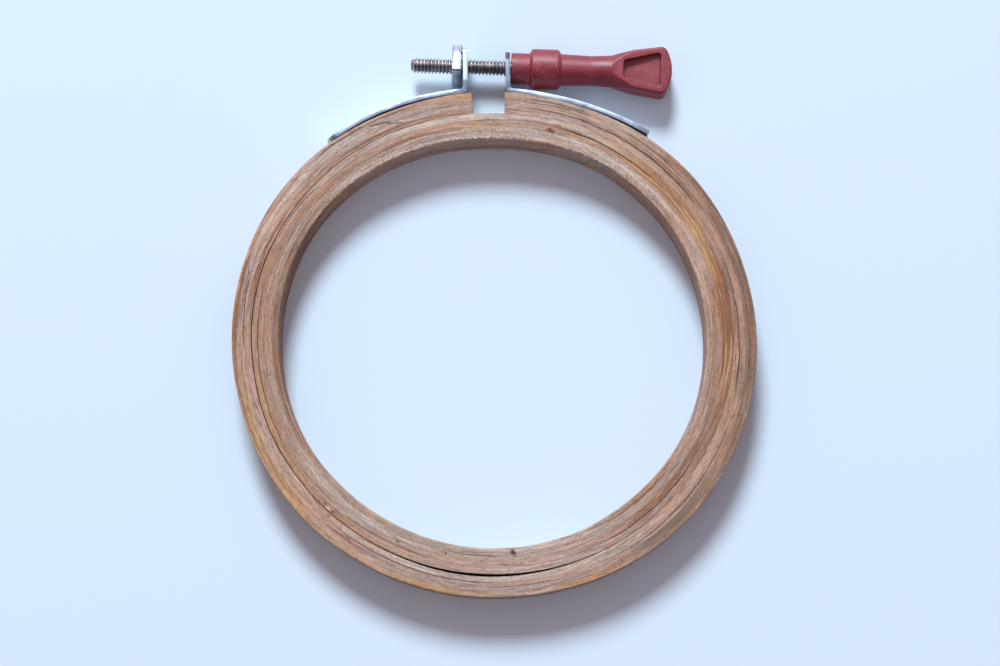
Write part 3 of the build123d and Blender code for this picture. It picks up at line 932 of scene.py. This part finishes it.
def maroon_plastic():
    """Moulded plastic: satin, with faint flow marks and paler specks painted as glints over a fine bumpy
    texture, most of them on the collar.
    """
    material, tree, shader = new_material("maroon_moulded_plastic")
    place = node(tree, "ShaderNodeTexCoord").outputs["Object"]
    flow = noise(tree, place, (300.0, 420.0, 420.0), detail=3.0)
    speckle = even_noise(tree, place, 3000.0, 2.0, 0.6)
    collar = band(tree, node(tree, "ShaderNodeSeparateXYZ", {0: place}).outputs[0], COLLAR_SPAN)
    # Paler specks painted as glints, stronger on the collar
    painted_glints = times_plus(tree, collar, 0.3, 0.18)
    painted_glints = times(tree, fade(tree, speckle, 0.56, 0.72), painted_glints)
    colour = blend_colours(tree, fade(tree, flow, 0.3, 0.75), linear(128, 40, 50), linear(147, 54, 70))
    colour = blend_colours(tree, painted_glints, colour, linear(208, 146, 162))
    roughness = fade(tree, flow, 0.25, 0.8, 0.40, 0.52)
    fill(tree, shader.inputs, {"Base Color": colour, "Roughness": roughness, "Specular IOR Level": 0.6})
    height = times_plus(tree, speckle, 0.3, times(tree, flow, 0.8))
    add_relief(tree, shader, height, 0.45, 0.14 * MM)
    return material


def ease_edges(shape, width):
    """Cut edges of a solid eased by a small bevel."""
    bmesh.ops.dissolve_limit(shape, angle_limit=math.radians(0.5), verts=shape.verts, edges=shape.edges)
    corners = [e for e in shape.edges if e.is_manifold and e.calc_face_angle(0.0) > math.radians(40)]
    bmesh.ops.bevel(shape, geom=corners, offset=width, segments=2, profile=0.6, affect="EDGES",
                    clamp_overlap=True)


def follow_oval_rim(shape):
    """A strap or a nail moved out or in with the oval rim, from a little way beside the clamp on."""
    free, full = math.radians(8), math.radians(14)
    for vertex in shape.verts:
        bearing = math.atan2(vertex.co.x, vertex.co.y)
        share = min(max((abs(bearing) - free) / (full - free), 0.0), 1.0)
        stray = float(round_curve(np.array([bearing % (2 * math.pi)]), RIM_STRAY)[0])
        outward = Vector((vertex.co.x, vertex.co.y, 0.0)).normalized()
        vertex.co += outward * share * stray * MM


def dressed_copy(name, label, material, body, eased=0.0, on_rim=False):
    """Own copy of a solid's mesh, its cut edges eased and, for a strap or a nail, on the oval rim."""
    mesh = frame["nodes"][name].data.copy()
    mesh.name = label
    shape = bmesh.new()
    shape.from_mesh(mesh)
    bmesh.ops.remove_doubles(shape, verts=shape.verts, dist=0.002 * MM)
    if eased:
        ease_edges(shape, eased * MM)
    if on_rim:
        follow_oval_rim(shape)
    shape.to_mesh(mesh)
    shape.free()
    only_material(mesh, material)
    smooth_between(mesh, 30)
    piece = in_scene(label, mesh)
    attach(piece, body)
    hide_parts(name)


def moulded_copy(name, label, material, body):
    """Own copy of a solid's mesh with the soft edges of a moulding."""
    piece = in_scene(label, frame["nodes"][name].data.copy())
    skin = piece.modifiers.new("skin", "REMESH")
    skin.mode = "VOXEL"
    skin.voxel_size = 0.13 * MM
    soften = piece.modifiers.new("soften", "SMOOTH")
    soften.factor = 0.5
    soften.iterations = 5
    moulded = made_mesh(piece)
    only_material(moulded, material)
    moulded.shade_smooth()
    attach(piece, body)
    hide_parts(name)


# Places along the rolled screw and its sizes, in millimetres, and a seed for its wear
SCREW_SIZES = {
    "Tail": -16.85, "Length": 42.0, "Radius": 1.75, "Pitch": 0.79375, "Thread Depth": 0.487,
    "Crest Flat": 0.1, "Root Flat": 0.12, "Tail Radius": 1.0, "Thread End": 4.2, "Shank Start": 5.1,
    "Shank Radius": 1.5, "Anchor Start": 22.16, "Anchor Flats": 4.6, "Wear": 0.06, "Wear Seed": 3.0,
}


def thread_radius(tree, enter, parts, along, turn):
    """Radius of the worn, rolled thread, tapered at its tail."""
    half_pitch = times(tree, enter["Pitch"], 0.5)
    phase = calc(tree, "FRACT", less(tree, calc(tree, "DIVIDE", along, enter["Pitch"]), turn))
    nearness = calc(tree, "ABSOLUTE", times_plus(tree, phase, 2.0, -1.0))
    off = times(tree, less(tree, 1.0, nearness), half_pitch)
    flanks = less(tree, enter["Pitch"], enter["Crest Flat"])
    flank = times(tree, less(tree, flanks, enter["Root Flat"]), 0.5)
    past_crest = less(tree, off, times(tree, enter["Crest Flat"], 0.5))
    sunk = calc(tree, "DIVIDE", past_crest, flank, clamp=True)
    thread = less(tree, enter["Radius"], times(tree, sunk, enter["Thread Depth"]))
    values = {"Vector": joined(tree, parts[0], parts[1], along), "W": enter["Wear Seed"], "Scale": 1.6,
              "Detail": 2.0}
    dents = node(tree, "ShaderNodeTexNoise", values, noise_dimensions="4D").outputs["Fac"]
    worn = times(tree, less(tree, dents, 0.3), enter["Wear"])
    tail = plus(tree, enter["Tail Radius"], less(tree, along, enter["Tail"]))
    return calc(tree, "MINIMUM", less(tree, thread, worn), tail)


def anchor_radius(tree, enter, turn):
    """Radius of the six-sided anchor that keeps the handle from turning on the screw."""
    corner = less(tree, calc(tree, "FRACT", times(tree, turn, 6.0)), 0.5)
    lean = calc(tree, "COSINE", times(tree, corner, math.pi / 3))
    return calc(tree, "DIVIDE", times(tree, enter["Anchor Flats"], 0.5), lean)


def rolled_screw_nodes():
    """Geometry nodes of a rod along Z, in millimetres: rolled thread, plain shank and six-sided anchor."""
    tree = bpy.data.node_groups.new("rolled_screw", "GeometryNodeTree")
    for label in SCREW_SIZES:
        tree.interface.new_socket(label, in_out="INPUT", socket_type="NodeSocketFloat")
    tree.interface.new_socket("Finish", in_out="INPUT", socket_type="NodeSocketMaterial")
    tree.interface.new_socket("Geometry", in_out="OUTPUT", socket_type="NodeSocketGeometry")
    enter, leave = tree.nodes.new("NodeGroupInput").outputs, tree.nodes.new("NodeGroupOutput").inputs

    values = {"Vertices": 48, "Side Segments": 820, "Fill Segments": 2, "Radius": 1.0,
              "Depth": enter["Length"]}
    rod = node(tree, "GeometryNodeMeshCylinder", values, fill_type="TRIANGLE_FAN")
    place = node(tree, "GeometryNodeInputPosition").outputs[0]
    parts = node(tree, "ShaderNodeSeparateXYZ", {0: place}).outputs
    along = plus(tree, parts[2], times_plus(tree, enter["Length"], 0.5, enter["Tail"]))
    turn = calc(tree, "DIVIDE", calc(tree, "ARCTAN2", parts[1], parts[0]), 2 * math.pi)
    thread = thread_radius(tree, enter, parts, along, turn)
    values = {"Value": along, "From Min": enter["Thread End"], "From Max": enter["Shank Start"]}
    run_out = node(tree, "ShaderNodeMapRange", values).outputs["Result"]
    change = less(tree, enter["Shank Radius"], thread)
    radius = times_plus(tree, run_out, change, thread)
    anchored = calc(tree, "GREATER_THAN", along, enter["Anchor Start"])
    change = less(tree, anchor_radius(tree, enter, turn), radius)
    radius = times_plus(tree, anchored, change, radius)
    wide, deep = (times(tree, part, radius) for part in (parts[0], parts[1]))
    shaped = joined(tree, wide, deep, along)
    moved = node(tree, "GeometryNodeSetPosition", {"Geometry": rod.outputs["Mesh"], "Position": shaped})
    real = node(tree, "GeometryNodeRealizeInstances", {"Geometry": moved.outputs[0]})
    finish = node(tree, "GeometryNodeSetMaterial", {"Geometry": real.outputs[0], "Material": enter["Finish"]})
    tree.links.new(finish.outputs[0], leave["Geometry"])
    return tree


def clamp_screw_piece(material):
    """Clamp screw with its helical thread, laid along the leaning screw line."""
    tree = rolled_screw_nodes()
    piece = in_scene("rolled_clamp_screw", bpy.data.meshes.new("rolled_clamp_screw"))
    rolled = piece.modifiers.new("rolled_screw", "NODES")
    rolled.node_group = tree
    values = {**SCREW_SIZES, "Finish": material}
    for socket in tree.interface.items_tree:
        if socket.in_out == "INPUT":
            rolled[socket.identifier] = values[socket.name]
    mesh = made_mesh(piece)
    lying = Matrix.Rotation(-SCREW_LEAN, 4, "Z") @ Matrix.Rotation(math.radians(90), 4, "Y")
    mesh.transform(Matrix.Scale(MM, 4) @ Matrix.Translation(SCREW_POINT) @ lying)
    smooth_between(mesh, 50)
    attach(piece, "screw_and_handle")
    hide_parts("clamp_screw")


# The hoop's pieces with their finishes
inner_ring()
outer_ring()

PLATE = linear(160, 170, 187)
TARNISH = linear(112, 110, 114)
PLATE_ROUGHNESS = (0.38, 0.50)
# The left lug gets a lighter painted tone as a painted highlight, the torn right lug a darker one as painted
# shade
strap_steel = steel("zinc_plated_strap", PLATE, PLATE_ROUGHNESS, TARNISH, 0.6,
                    painted_lug_tone=linear(190, 202, 211))
torn_steel = steel("zinc_plated_torn_strap", PLATE, PLATE_ROUGHNESS, TARNISH, 0.6,
                   painted_lug_tone=linear(104, 110, 126), torn=True)
nut_steel = steel("bright_square_nut", linear(214, 220, 230), (0.16, 0.30), linear(130, 128, 128), 0.2)
nail_steel = steel("bright_nail", linear(196, 200, 208), (0.28, 0.45), linear(120, 100, 86), 0.3)
screw_steel = steel("rolled_thread", linear(214, 212, 214), (0.30, 0.44), linear(118, 100, 92), 0.4,
                    threaded=True)

dressed_copy("left_bracket", "left_sheared_strap", strap_steel, "left_clamp", 0.05, True)
dressed_copy("right_bracket", "right_torn_strap", torn_steel, "outer_ring", 0.05, True)
dressed_copy("left_bracket_nails", "left_strap_nails", nail_steel, "left_clamp", 0.0, True)
dressed_copy("right_bracket_nails", "right_strap_nails", nail_steel, "outer_ring", 0.0, True)
dressed_copy("clamp_nut", "square_nut", nut_steel, "nut", 0.12)
clamp_screw_piece(screw_steel)
moulded_copy("handle", "moulded_paddle_handle", maroon_plastic(), "screw_and_handle")


# Floor, light and camera
def pale_floor():
    """Bluish white paper under the hoop."""
    size, level = 3.0, -0.02 * MM
    mesh = bpy.data.meshes.new("paper_floor")
    corners = [(-size, -size, level), (size, -size, level), (size, size, level), (-size, size, level)]
    mesh.from_pydata(corners, [], [(0, 1, 2, 3)])
    floor = in_scene("paper_floor", mesh)
    material, tree, shader = new_material("bluish_white_paper")
    rays = node(tree, "ShaderNodeLightPath").outputs
    seen = calc(tree, "MAXIMUM", rays["Is Camera Ray"], rays["Is Glossy Ray"])
    bounced_tone, seen_tone = (0.50, 0.51, 0.62, 1.0), (0.685, 0.865, 1.0, 1.0)
    paper = blend_colours(tree, seen, bounced_tone, seen_tone)
    fill(tree, shader.inputs, {"Base Color": paper, "Roughness": 0.9, "Specular IOR Level": 0.1})
    mesh.materials.append(material)


def window_light():
    """One large soft window light from behind, a little to the left."""
    window = bpy.data.lights.new("window_light", "AREA")
    window.shape = "DISK"
    window.size = 0.84
    window.energy = 69.0
    window.color = (0.91, 0.975, 1.055)
    distance, bearing, rise = 2.6, math.radians(351), math.radians(43.3)
    level = math.cos(rise)
    aim = Vector((math.sin(bearing) * level, math.cos(bearing) * level, math.sin(rise)))
    lamp = in_scene("window_light", window)
    lamp.location = aim * distance
    lamp.rotation_euler = aim.to_track_quat("Z", "Y").to_euler()


def pale_room():
    """Weak fill, a little stronger from above, and what metal and plastic mirror of the room."""
    world = bpy.data.worlds.new("pale_room")
    world.use_nodes = True
    tree = world.node_tree
    tree.nodes.clear()
    rays = node(tree, "ShaderNodeLightPath").outputs
    direction = node(tree, "ShaderNodeTexCoord").outputs["Generated"]
    toward = node(tree, "ShaderNodeSeparateXYZ", {0: direction}).outputs
    window_side = fade(tree, times_plus(tree, toward[2], 0.12, toward[1]), -0.38, 0.7)
    mirrored = blend_colours(tree, window_side, (0.04, 0.055, 0.10, 1.0), (0.92, 0.96, 1.0, 1.0))
    overhead = fade(tree, toward[2], 0.0, 0.85)
    even = blend_colours(tree, overhead, (0.13, 0.095, 0.10, 1.0), (0.46, 0.35, 0.37, 1.0))
    fill = node(tree, "ShaderNodeBackground", {"Color": even, "Strength": 1.0})
    reflected = node(tree, "ShaderNodeBackground", {"Color": mirrored, "Strength": 1.0})
    either = calc(tree, "MAXIMUM", rays["Is Glossy Ray"], rays["Is Camera Ray"])
    mix = node(tree, "ShaderNodeMixShader", {0: either, 1: fill.outputs[0], 2: reflected.outputs[0]})
    output = tree.nodes.new("ShaderNodeOutputWorld")
    tree.links.new(mix.outputs[0], output.inputs["Surface"])
    bpy.context.scene.world = world


def photo_camera():
    """Camera that looks down on the hoop from its near side, turned by a hair."""
    camera = bpy.data.cameras.new("camera")
    camera.sensor_fit = "HORIZONTAL"
    camera.sensor_width = 36.0
    camera.lens = 85.03
    camera.clip_start = 0.01
    place = Vector((0.0, -75.0, 509.8)) * MM
    target = Vector((1.75, 3.31, 0.0)) * MM
    top_of_picture = Vector((0.0165, 0.99986, 0.0))
    forward = (target - place).normalized()
    right = forward.cross(top_of_picture).normalized()
    up = right.cross(forward)
    holder = in_scene("camera", camera)
    turn = Matrix((right, up, -forward)).transposed().to_4x4()
    holder.matrix_world = Matrix.Translation(place) @ turn
    bpy.context.scene.camera = holder


pale_floor()
window_light()
pale_room()
photo_camera()
bpy.context.scene.view_settings.view_transform = "Standard"
